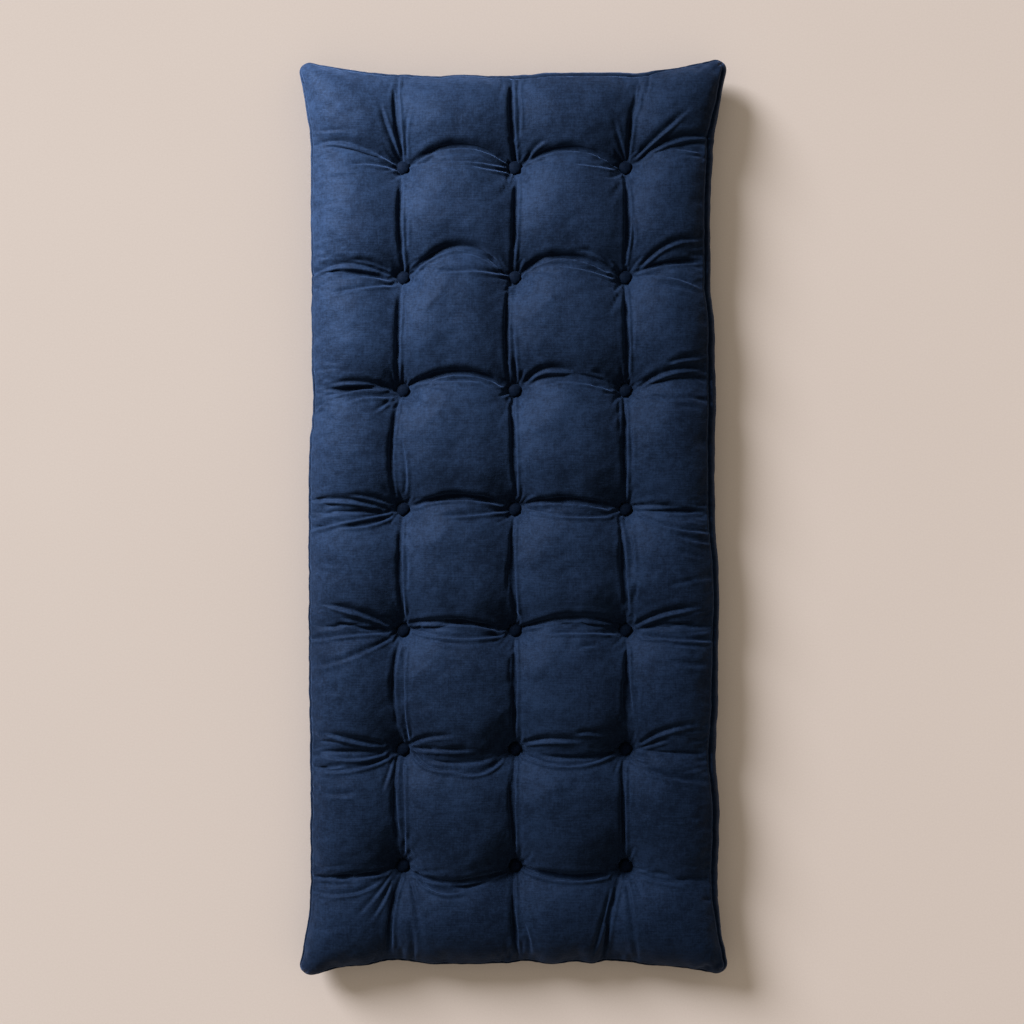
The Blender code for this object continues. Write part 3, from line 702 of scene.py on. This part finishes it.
def pucker_folds(random, count, shortest, longest, depth):
    """Short folds that run out from each tuft in seeded directions."""
    for tuft_x in TUFT_X:
        for tuft_y in TUFT_Y:
            for k in range(count):
                angle = math.tau * (k + random.uniform(-0.35, 0.35)) / count
                bend = angle + random.uniform(-0.25, 0.25)
                reach = random.uniform(shortest, longest)
                tuft = np.array([tuft_x, tuft_y])
                ray = np.array([math.cos(angle), math.sin(angle)])
                bent = np.array([math.cos(bend), math.sin(bend)])
                start, middle = tuft + PUCKER_START * ray, tuft + 0.5 * (PUCKER_START + reach) * ray
                yield route_through(start, middle, tuft + reach * bent), depth * random.uniform(0.4, 1.0)


def edge_puckers(random):
    """Short soft folds that run in across the rolled sides, where the seam gathers the cover a little."""
    for side in (-1, 1):
        for y in np.arange(0.042 - HALF_LENGTH, HALF_LENGTH - 0.04, EDGE_PUCKER_PITCH):
            y += random.uniform(-0.012, 0.012)
            start = np.array([side * (HALF_WIDTH + 0.004), y])
            reach, slant = random.uniform(0.035, 0.105), random.uniform(-0.016, 0.022)
            end = np.array([side * (HALF_WIDTH - reach), y + slant])
            middle = (start + end) / 2 + np.array([0, random.uniform(-0.006, 0.008)])
            yield route_through(start, middle, end), random.uniform(0.8, 2.4) * MM


def ripple(points, random, length, height):
    """Low seeded waves of about this length, for each point."""
    total = np.zeros(points.shape[:-1])
    for _ in range(14):
        angle, phase = random.uniform(0, math.tau, 2)
        wave = math.tau / (length * random.uniform(0.7, 1.5))
        total += np.sin(wave * (points[..., 0] * math.cos(angle) + points[..., 1] * math.sin(angle)) + phase)
    return total * height / math.sqrt(14)


def softened(moves):
    """The moves, each mixed with those of its four neighbours."""
    padded = np.pad(moves, ((1, 1), (1, 1), (0, 0)), mode="edge")
    around = padded[2:, 1:-1] + padded[:-2, 1:-1] + padded[1:-1, 2:] + padded[1:-1, :-2]
    return 0.72 * moves + 0.07 * around


def limited(moves, most):
    """The moves with those that are longer than the most eased back towards it."""
    length = np.linalg.norm(moves, axis=-1, keepdims=True)
    return moves * most * np.tanh(length / most) / np.maximum(length, 1e-9)


def seam_moves(points, normals, ring):
    """How the stitching moves the points beside the seam: into a groove that puckers a little."""
    offset = np.minimum(ring, ROLL_LINES) - SEAM_LINE
    push = sum(np.where(offset == line, amount, 0) for line, amount in SEAM_GROOVE.items())
    spread = np.abs(points[..., :2])
    push = push * blend_between(np.linalg.norm(spread - spread.max(axis=(0, 1)), axis=-1), *GROOVE_FADE)
    inwards = GROOVE_DIRECTION[0] * normals + np.array([0, 0, GROOVE_DIRECTION[1]])
    rate_x, rate_y = SEAM_PUCKER_RATES
    pucker = SEAM_PUCKER * np.sin(points[..., 0] * rate_x) * np.sin(points[..., 1] * rate_y + 1)
    pucker = pucker * np.clip(1 - np.abs(offset) / SEAM_PUCKER_LINES, 0, 1)
    return push[..., None] * inwards + pucker[..., None] * normals


def finished_top(grid):
    """The whole upper face, inflated, creased and rippled."""
    random = np.random.default_rng(11)
    points = grid.top()
    points = inflated(points, grid.ring)
    inside = blend_between(grid.ring, SEAM_LINE - 2, SEAM_LINE + FOLD_FULL_INSIDE)
    fade = FOLD_LEFT_OUTSIDE + (1 - FOLD_LEFT_OUTSIDE) * inside
    normals = normals_of(points)
    towards = normals * fade[..., None]
    base = points.copy()
    for route, depth in tuft_folds():
        press_fold(points, towards, route, depth)
    for route, depth in pucker_folds(random, *TOP_PUCKERS):
        press_fold(points, towards, route, depth)
    for route, depth in edge_puckers(random):
        press_fold(points, towards, route, depth)
    points = base + softened(limited(points - base, MOST_FOLD))
    soft = blend_between(tuft_distance(points[..., 0], points[..., 1]), *RIPPLE_FADE)
    wave = ripple(points, random, *LONG_RIPPLE) + ripple(points, random, *SHORT_RIPPLE)
    points += (wave * soft)[..., None] * normals
    return points + seam_moves(points, normals, grid.ring)


def finished_under(grid):
    """The lower face with the folds that its tufts draw in it."""
    random = np.random.default_rng(5)
    points = grid.under()
    normals = normals_of(points)
    for route, depth in pucker_folds(random, *UNDER_PUCKERS):
        press_fold(points, -normals, route, depth)
    for route, depth in rim_folds(random):
        press_fold(points, -normals, route, depth)
    points[..., 2] = np.maximum(points[..., 2], 0)
    return points


def rim_folds(random):
    """Folds that run in from the edges on the underside."""
    for side in (-1, 1):
        for tuft_y in TUFT_Y:
            for shift in random.uniform(-0.05, 0.05, 2):
                start = np.array([side * (HALF_WIDTH + 0.01), tuft_y + shift])
                end = np.array([side * (HALF_WIDTH - random.uniform(0.08, 0.14)), tuft_y + 0.4 * shift])
                yield route_through(start, (start + end) / 2 + random.uniform(-0.01, 0.01, 2), end), 3.0 * MM
        for tuft_x in TUFT_X:
            start = np.array([tuft_x + random.uniform(-0.02, 0.02), side * (HALF_LENGTH + 0.01)])
            end = np.array([tuft_x, side * (HALF_LENGTH - 0.12)])
            yield route_through(start, (start + end) / 2, end), 3.5 * MM


def add_piece(name, mesh, *finishes):
    piece = placed(name, mesh)
    if not mesh.materials:
        for finish in finishes:
            mesh.materials.append(finish)
    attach(piece, "root")
    return piece


def mesh_of(name, points, faces):
    """A smooth mesh with only the points that its faces use."""
    used = np.unique(np.concatenate([np.ravel(face) for face in faces]))
    place = np.full(len(points), -1)
    place[used] = np.arange(len(used))
    listed = [place[np.array(face)].tolist() for face in faces]
    mesh = bpy.data.meshes.new(name)
    mesh.from_pydata(points[used].tolist(), [], listed)
    mesh.shade_smooth()
    return mesh


def cover_meshes(grid):
    """The top panel, inside the seam, and the bottom panel, outside and below it."""
    top, under = finished_top(grid), finished_under(grid)
    top_points = top.reshape(-1, 3)
    faces = grid_faces(grid.shape)
    ring = grid.ring.reshape(-1)
    inside = ring[faces].min(axis=1) >= SEAM_LINE
    top_mesh = mesh_of("top_panel", top_points, faces[inside])
    every = COARSE_EVERY
    under[[0, -1]], under[:, [0, -1]] = top[[0, -1]], top[:, [0, -1]]
    points = np.concatenate([top_points, under.reshape(-1, 3)])
    rim_number = np.arange(len(top_points)).reshape(grid.shape)
    under_number = rim_number + len(top_points)
    under_number[[0, -1]], under_number[:, [0, -1]] = rim_number[[0, -1]], rim_number[:, [0, -1]]
    bottom = faces[~inside].tolist()
    last_x, last_y = grid.shape[0] - 1, grid.shape[1] - 1
    for i in range(0, last_x, every):
        for j in range(0, last_y, every):
            loop = [(i, j), (i, j + every), (i + every, j + every), (i + every, j)]
            face = []
            for (a, b), (c, d) in zip(loop, loop[1:] + loop[:1]):
                face.append(under_number[a, b])
                on_rim = (a == c and a in (0, last_x)) or (b == d and b in (0, last_y))
                for k in range(1, every if on_rim else 1):
                    face.append(under_number[a + (c - a) * k // every, b + (d - b) * k // every])
            bottom.append(face)
    bottom_mesh = mesh_of("bottom_panel", points, bottom)
    return top_mesh, bottom_mesh, top, under


# Materials
BUMP_STRENGTH = 0.5
VELVET_BUMP = 0.0020


def new_material(name):
    made = bpy.data.materials.new(name)
    made.use_nodes = True
    return made, made.node_tree.nodes, made.node_tree.links


def noise(nodes, links, vector, scale, detail=3.0, stretch=None):
    texture = nodes.new("ShaderNodeTexNoise")
    texture.inputs["Scale"].default_value = scale
    texture.inputs["Detail"].default_value = detail
    if stretch:
        mapping = nodes.new("ShaderNodeMapping")
        mapping.inputs["Scale"].default_value = stretch
        links.new(vector, mapping.inputs["Vector"])
        vector = mapping.outputs["Vector"]
    links.new(vector, texture.inputs["Vector"])
    return texture.outputs["Fac"]


def set_inputs(nodes, values):
    """Sets the shader's inputs to these values."""
    for name, value in values.items():
        nodes["Principled BSDF"].inputs[name].default_value = value


def weighted_sum(nodes, links, parts):
    """The sum of sockets times weights."""
    total = None
    for socket, weight in parts:
        step = nodes.new("ShaderNodeMath")
        step.operation = "MULTIPLY_ADD"
        step.inputs[1].default_value = weight
        links.new(socket, step.inputs[0])
        if total is None:
            step.inputs[2].default_value = 0.0
        else:
            links.new(total, step.inputs[2])
        total = step.outputs[0]
    return total


def two_tones(nodes, links, tone, low, dark, high, light):
    """Colours the shader by a tone: dark up to the low value and light from the high one."""
    ramp = nodes.new("ShaderNodeValToRGB")
    for stop, position, colour in zip(ramp.color_ramp.elements, (low, high), (dark, light)):
        stop.position = position
        stop.color = (*colour, 1.0)
    links.new(tone, ramp.inputs["Fac"])
    links.new(ramp.outputs["Color"], nodes["Principled BSDF"].inputs["Base Color"])


def bumped(nodes, links, height, distance):
    """Bumps the shader's surface by a height that stands for up to this distance."""
    bump = nodes.new("ShaderNodeBump")
    bump.inputs["Strength"].default_value = BUMP_STRENGTH
    bump.inputs["Distance"].default_value = distance
    links.new(height, bump.inputs["Height"])
    links.new(bump.outputs["Normal"], nodes["Principled BSDF"].inputs["Normal"])


def velvet(name, dark, light, specular, sheen):
    """Short cotton pile: mottled where it lies over, with faint lines of the ground weave."""
    made, nodes, links = new_material(name)
    place = nodes.new("ShaderNodeTexCoord").outputs["Object"]
    patches = noise(nodes, links, place, 7.0, 3.0)
    mottle = noise(nodes, links, place, 55.0, 4.0)
    weft = noise(nodes, links, place, 60.0, 3.0, (0.35, 9.0, 3.0))
    warp = noise(nodes, links, place, 60.0, 3.0, (9.0, 0.35, 3.0))
    nap = noise(nodes, links, place, 190.0, 4.0)
    grain = noise(nodes, links, place, 900.0, 2.0)
    shades = ((patches, 0.30), (mottle, 0.30), (weft, 0.30), (warp, 0.18), (nap, 0.35), (grain, 0.20))
    two_tones(nodes, links, weighted_sum(nodes, links, shades), 0.72, dark, 0.93, light)
    heights = ((mottle, 0.6), (weft, 0.55), (warp, 0.22), (nap, 0.50), (grain, 0.30))
    bumped(nodes, links, weighted_sum(nodes, links, heights), VELVET_BUMP)
    finish = {
        "Roughness": 0.64,
        "Specular IOR Level": specular,
        "Specular Tint": (0.34, 0.52, 1.0, 1.0),
        "Sheen Weight": sheen,
        "Sheen Roughness": 0.45,
        "Sheen Tint": (0.24, 0.42, 0.90, 1.0),
    }
    set_inputs(nodes, finish)
    return made


def fibre(name, dark, light, scale, roughness=0.95, bump_distance=0.002):
    """A matt fibrous finish, for batting, foam and twine."""
    made, nodes, links = new_material(name)
    place = nodes.new("ShaderNodeTexCoord").outputs["Object"]
    coarse = noise(nodes, links, place, scale, 4.0)
    fine = noise(nodes, links, place, scale * 9, 3.0)
    tone = weighted_sum(nodes, links, ((coarse, 0.6), (fine, 0.4)))
    two_tones(nodes, links, tone, 0.35, dark, 0.65, light)
    bumped(nodes, links, tone, bump_distance)
    set_inputs(nodes, {"Roughness": roughness})
    return made


# Buttons. The profile is of shares of the radius and the height, from the crown to the turn-under, which is
# pleated below PLEATS_TOP of the height.
BUTTON_RADIUS = 0.0142
BUTTON_HEIGHT = 0.0105
BUTTON_SIDES = 40
BUTTON_PROFILE = (
    (0.00, 1.00), (0.18, 0.99), (0.38, 0.955), (0.58, 0.88), (0.76, 0.765), (0.90, 0.60),
    (0.975, 0.43), (1.00, 0.28), (0.97, 0.13), (0.88, 0.03), (0.74, 0.0),
)
BUTTON_WAVES, BUTTON_WAVE = 3, 0.006
BUTTON_UNEVEN = 0.08 * MM
PLEATS, PLEAT, PLEATS_TOP = 14, 0.035, 0.2
SHANK_RADIUS = 0.0038
SHANK_WIRE = 0.0007
SHANK_LIFT = 0.0004
SHANK_STEPS = 10


def add_dome(bm):
    """The button's velvet, pleated where it turns under, and the plate that closes it."""
    random = np.random.default_rng(3)
    rings = [[bm.verts.new((0, 0, BUTTON_HEIGHT))]]
    for share, height in BUTTON_PROFILE[1:]:
        ring = []
        for k in range(BUTTON_SIDES):
            angle = math.tau * k / BUTTON_SIDES
            uneven = BUTTON_WAVE * math.sin(angle * BUTTON_WAVES + 1)
            if height < PLEATS_TOP:
                uneven = PLEAT * math.sin(angle * PLEATS)
            radius = BUTTON_RADIUS * share * (1 + uneven)
            z = BUTTON_HEIGHT * height + random.uniform(-BUTTON_UNEVEN, BUTTON_UNEVEN)
            ring.append(bm.verts.new((radius * math.cos(angle), radius * math.sin(angle), z)))
        rings.append(ring)
    for upper, lower in zip(rings, rings[1:]):
        for k in range(BUTTON_SIDES):
            n = (k + 1) % BUTTON_SIDES
            if len(upper) == 1:
                bm.faces.new((upper[0], lower[k], lower[n]))
            else:
                bm.faces.new((upper[k], lower[k], lower[n], upper[n]))
    plate = bm.faces.new(list(reversed(rings[-1])))
    plate.material_index = 1


def add_shank(bm):
    """The half loop of wire under the plate that the twine runs through."""
    previous = None
    for k in range(SHANK_STEPS + 1):
        turn = math.pi * k / SHANK_STEPS
        ring = []
        for a in np.linspace(0, math.tau, 8, endpoint=False):
            reach = SHANK_RADIUS + SHANK_WIRE * math.cos(a)
            spot = (reach * math.cos(turn), SHANK_WIRE * math.sin(a), SHANK_LIFT - reach * math.sin(turn))
            ring.append(bm.verts.new(spot))
        for m in range(8 if previous else 0):
            face = bm.faces.new((previous[m], previous[(m + 1) % 8], ring[(m + 1) % 8], ring[m]))
            face.material_index = 1
        previous = ring


def smooth_mesh(name, bm, *finishes):
    """A smooth mesh from a bmesh, which is freed."""
    bmesh.ops.recalc_face_normals(bm, faces=bm.faces)
    mesh = bpy.data.meshes.new(name)
    bm.to_mesh(mesh)
    bm.free()
    mesh.shade_smooth()
    for finish in finishes:
        mesh.materials.append(finish)
    return mesh


def button_mesh(finish, metal):
    """A velvet-covered button: a soft dome, its pleated turn-under, the back plate and the wire shank."""
    bm = bmesh.new()
    add_dome(bm)
    add_shank(bm)
    return smooth_mesh("covered_button", bm, finish, metal)


# Ties: the doubled twine, its knot, and the ends of the yarn, which reach out and hang down from under it
TWINE_RADIUS = 0.0008
TWINE_SPREAD = 0.0026
TWINE_TOP = BUTTON_Z - 0.0018
TWINE_FOOT = UNDER_TUFT_Z - 0.003
KNOT_TWINE_RADIUS = 0.0009
KNOT_ACROSS, KNOT_ALONG, KNOT_WAVE = 0.0026, 0.0022, 0.0008
KNOT_Z = UNDER_TUFT_Z - 0.0046
YARN_ENDS = 34
YARN_START, YARN_Z = 0.0012, UNDER_TUFT_Z - 0.0022
YARN_REACH = (0.0085, 0.0125)
YARN_DROP = (0.001, 0.0062)
YARN_RADIUS = (0.0007, 0.0010)


def tube(bm, points, radius, sides=6):
    """Adds a closed round tube along a line of points."""
    points = np.array(points, dtype=float)
    tangents = np.gradient(points, axis=0)
    tangents /= np.linalg.norm(tangents, axis=1, keepdims=True)
    guide = np.array([0.31, 0.17, 0.93]) if abs(tangents[0][2]) < 0.8 else np.array([1.0, 0.2, 0.1])
    rings = []
    for point, tangent in zip(points, tangents):
        one = np.cross(tangent, guide)
        one /= np.linalg.norm(one)
        two = np.cross(tangent, one)
        rings.append([
            bm.verts.new(point + radius * (math.cos(a) * one + math.sin(a) * two))
            for a in np.linspace(0, math.tau, sides, endpoint=False)
        ])
    for first, second in zip(rings, rings[1:]):
        for k in range(sides):
            n = (k + 1) % sides
            bm.faces.new((first[k], first[n], second[n], second[k]))
    bm.faces.new(list(reversed(rings[0])))
    bm.faces.new(rings[-1])


def add_twine(bm):
    """The doubled twine: up from the knot, round the shank and down again."""
    turn = [
        (0, TWINE_SPREAD * math.cos(a), TWINE_TOP - TWINE_SPREAD + TWINE_SPREAD * math.sin(a))
        for a in np.linspace(0, math.pi, 9)
    ]
    tube(bm, [(0, TWINE_SPREAD, TWINE_FOOT), *turn, (0, -TWINE_SPREAD, TWINE_FOOT)], TWINE_RADIUS)


def add_yarn(bm):
    """The cut ends of the yarn tuft that the twine is knotted round."""
    random = np.random.default_rng(8)
    for k in range(YARN_ENDS):
        angle = math.tau * k / YARN_ENDS + random.uniform(-0.1, 0.1)
        reach, drop = random.uniform(*YARN_REACH), random.uniform(*YARN_DROP)
        out = np.array([math.cos(angle), math.sin(angle), 0])
        start = np.array([0, 0, YARN_Z]) + YARN_START * out
        middle = start + 0.6 * reach * out + np.array([0, 0, 0.0006])
        end = start + reach * out - np.array([0, 0, drop])
        tube(bm, route_through(start, middle, end)[::5], random.uniform(*YARN_RADIUS), 5)


def add_knot(bm):
    """The twine's knot: two turns round the yarn."""
    turns = np.linspace(0, 2 * math.tau, 25)
    wave = KNOT_Z + KNOT_WAVE * np.sin(3 * turns)
    knot = np.stack([KNOT_ACROSS * np.cos(turns), KNOT_ALONG * np.sin(turns), wave], axis=1)
    tube(bm, knot, KNOT_TWINE_RADIUS)


def tie_mesh(finish):
    """The twine, the yarn tuft and the knot."""
    bm = bmesh.new()
    add_twine(bm)
    add_yarn(bm)
    add_knot(bm)
    return smooth_mesh("tuft_tie", bm, finish)


def add_tufts(button_velvet_with_painted_shade, metal, twine):
    button, tie = button_mesh(button_velvet_with_painted_shade, metal), tie_mesh(twine)
    random = np.random.default_rng(21)
    for row in range(ROWS):
        for column in range(COLUMNS):
            number = f"r{row + 1}_c{column + 1}"
            place = (TUFT_X[column], TUFT_Y[row])
            covered = add_piece(f"covered_button_{number}", button)
            covered.location = (*place, BUTTON_Z)
            covered.rotation_euler = (random.uniform(-0.06, 0.06), random.uniform(-0.06, 0.06), 0)
            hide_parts(f"button_{number}")
            tied = add_piece(f"yarn_tuft_{number}", tie)
            tied.location = (*place, 0)
            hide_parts(f"tuft_tie_{number}")


# Filling
FILLING_GAP = 0.006
FILLING_EVERY = 9
FILLING_PAST_ROLL = 9
LEAST_FILLING = 0.012


def layer_mesh(name, upper, lower):
    """A closed layer between two grids of points."""
    shape = upper.shape[:2]
    number = np.arange(shape[0] * shape[1]).reshape(shape)
    faces = grid_faces(shape)
    rim = np.concatenate([number[:-1, 0], number[-1, :-1], number[:0:-1, -1], number[0, :0:-1]])
    other = number.size
    sides = np.stack([rim, rim + other, np.roll(rim, -1) + other, np.roll(rim, -1)], axis=1)
    points = np.concatenate([upper.reshape(-1, 3), lower.reshape(-1, 3)])
    return mesh_of(name, points, np.concatenate([faces, faces[:, ::-1] + other, sides]))


def least_near(values, every):
    """The least value round each point that is kept, so that nothing between them is lower."""
    padded = np.pad(values, every, mode="edge")
    least = np.full(values.shape, np.inf)
    for i in range(0, 2 * every + 1, 3):
        for j in range(0, 2 * every + 1, 3):
            least = np.minimum(least, padded[i : i + values.shape[0], j : j + values.shape[1]])
    return least


def add_filling(grid, top, under, batting, foam):
    """Lower batting, foam core and upper batting, inside the cover."""
    first = ROLL_LINES - FILLING_PAST_ROLL
    keep = np.ix_(*(np.arange(first, count - first, FILLING_EVERY) for count in grid.shape))
    ceiling = (least_near(top[..., 2], FILLING_EVERY) - FILLING_GAP)[keep]
    ground = (-least_near(-under[..., 2], FILLING_EVERY) + 0.5 * FILLING_GAP)[keep]
    x, y = top[..., 0][keep], top[..., 1][keep]
    ceiling = np.maximum(ceiling, ground + LEAST_FILLING)

    def level(share):
        return np.stack([x, y, ground + (ceiling - ground) * share], axis=-1)

    layers = (
        ("lower_batting", "batting_lower", 0.0, 0.265, batting, "cotton_batting", 0.7),
        ("foam_core_pad", "foam_core", 0.275, 0.725, foam, "core_foam", 0.9),
        ("upper_batting", "batting_upper", 0.735, 1.0, batting, "cotton_batting", 0.7),
    )
    for name, node, low, high, finish, slot, fill in layers:
        pad = add_piece(name, layer_mesh(name, level(high), level(low)), finish)
        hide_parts(node)


# Camera, light and floor
CAMERA_PLACE = (-0.0043, 0.0124, 3.723)
VIEW_WIDTH = 2.2016
SENSOR_MM = 36.0


def add_camera():
    data = bpy.data.cameras.new("camera")
    data.sensor_width = SENSOR_MM
    data.lens = SENSOR_MM * (CAMERA_PLACE[2] - SEAM_Z) / VIEW_WIDTH
    camera = placed("camera", data)
    camera.location = CAMERA_PLACE
    bpy.context.scene.camera = camera


KEY_DIRECTION = (-1.42, 1.32, 1.0)
KEY_STRENGTH = 4.15
KEY_ANGLE = math.radians(25)
KEY_COLOUR = (0.96, 1.0, 1.07)
SKY_STRENGTH = 0.40
SKY_COLOUR = (1.08, 1.0, 0.84, 1.0)
NEAR_LAMP_PLACE = (-1.65, 1.60, 1.48)
NEAR_LAMP_DIRECTION = (-0.05, 0.26, 1.0)
NEAR_LAMP_WATTS = 375.0
NEAR_LAMP_SIZE = 0.7
NEAR_LAMP_SPREAD = math.radians(117)


def aimed(name, data, direction):
    """A lamp that shines from this direction."""
    lamp = placed(name, data)
    lamp.rotation_mode = "QUATERNION"
    lamp.rotation_quaternion = Vector(direction).to_track_quat("Z", "Y")
    return lamp


def add_light():
    sun = bpy.data.lights.new("key", "SUN")
    sun.energy = KEY_STRENGTH
    sun.angle = KEY_ANGLE
    sun.color = KEY_COLOUR
    aimed("key", sun, KEY_DIRECTION)
    world = bpy.data.worlds.new("studio")
    world.use_nodes = True
    sky = world.node_tree.nodes["Background"]
    sky.inputs["Color"].default_value = SKY_COLOUR
    sky.inputs["Strength"].default_value = SKY_STRENGTH
    bpy.context.scene.world = world
    bpy.context.scene.view_settings.view_transform = "Standard"


def add_near_lamp(lit):
    """A soft lamp close to the head's left corner, which lights only the mattress."""
    area = bpy.data.lights.new("near_lamp", "AREA")
    area.shape = "SQUARE"
    area.size = NEAR_LAMP_SIZE
    area.energy = NEAR_LAMP_WATTS
    area.spread = NEAR_LAMP_SPREAD
    lamp = aimed("near_lamp", area, NEAR_LAMP_DIRECTION)
    lamp.location = NEAR_LAMP_PLACE
    receivers = bpy.data.collections.new("near_lamp_lights")
    for piece in lit:
        receivers.objects.link(piece)
    lamp.light_linking.receiver_collection = receivers


FLOOR_HALF = 40.0
FLOOR_GAP = 0.0005


def add_floor():
    """Plain pale paper with painted light: a little lighter towards the head and the left, where the light
    comes from.
    """
    mesh = bpy.data.meshes.new("floor")
    corners = [(sx * FLOOR_HALF, sy * FLOOR_HALF, 0) for sx, sy in ((-1, -1), (1, -1), (1, 1), (-1, 1))]
    mesh.from_pydata(corners, [], [(0, 1, 2, 3)])
    made, nodes, links = new_material("floor_paper")
    place = nodes.new("ShaderNodeTexCoord").outputs["Object"]
    painted_light_axes = nodes.new("ShaderNodeSeparateXYZ")
    links.new(place, painted_light_axes.inputs[0])
    parts = (
        (noise(nodes, links, place, 1.2, 2.0), 0.25),
        (noise(nodes, links, place, 260.0, 3.0), 0.45),
        # Painted light: these two terms make the paper lighter towards the left and the head, where the
        # light comes from.
        (painted_light_axes.outputs["X"], -0.16),
        (painted_light_axes.outputs["Y"], 0.12),
    )
    tone = weighted_sum(nodes, links, parts)
    two_tones(nodes, links, tone, 0.0, (0.610, 0.515, 0.462), 0.7, (0.715, 0.620, 0.568))
    set_inputs(nodes, {"Roughness": 0.95, "Specular IOR Level": 0.1})
    mesh.materials.append(made)
    floor = placed("floor", mesh)
    floor.location.z = -FLOOR_GAP
    floor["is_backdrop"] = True


def main():
    cover = velvet("cover_velvet", (0.0014, 0.0031, 0.0078), (0.0044, 0.0094, 0.0226), 0.075, 0.145)
    # Painted shade: the buttons wear the cover's velvet, painted at a half to a third of its tones for the
    # shade in their dimples, with less specular and sheen.
    button = velvet("button_velvet", (0.0007, 0.0015, 0.0038), (0.0015, 0.0032, 0.0080), 0.03, 0.05)
    metal, nodes, _ = new_material("button_back")
    set_inputs(nodes, {"Metallic": 1.0, "Base Color": (0.55, 0.54, 0.50, 1.0), "Roughness": 0.4})
    twine = fibre("tufting_twine", (0.018, 0.026, 0.050), (0.060, 0.080, 0.125), 400.0, 0.8, 0.0003)
    batting = fibre("cotton_batting", (0.62, 0.58, 0.49), (0.86, 0.83, 0.74), 35.0)
    foam = fibre("core_foam", (0.66, 0.58, 0.38), (0.80, 0.73, 0.52), 260.0, 0.9, 0.001)

    add_camera()
    add_light()
    add_floor()
    grid = Grid()
    top_mesh, bottom_mesh, top, under = cover_meshes(grid)
    for name, mesh in (("top", top_mesh), ("bottom", bottom_mesh)):
        panel = add_piece(f"{name}_panel", mesh, cover)
        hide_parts(f"cover_{name}_panel")
    add_filling(grid, top, under, batting, foam)
    add_tufts(button, metal, twine)
    add_near_lamp(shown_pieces())


main()
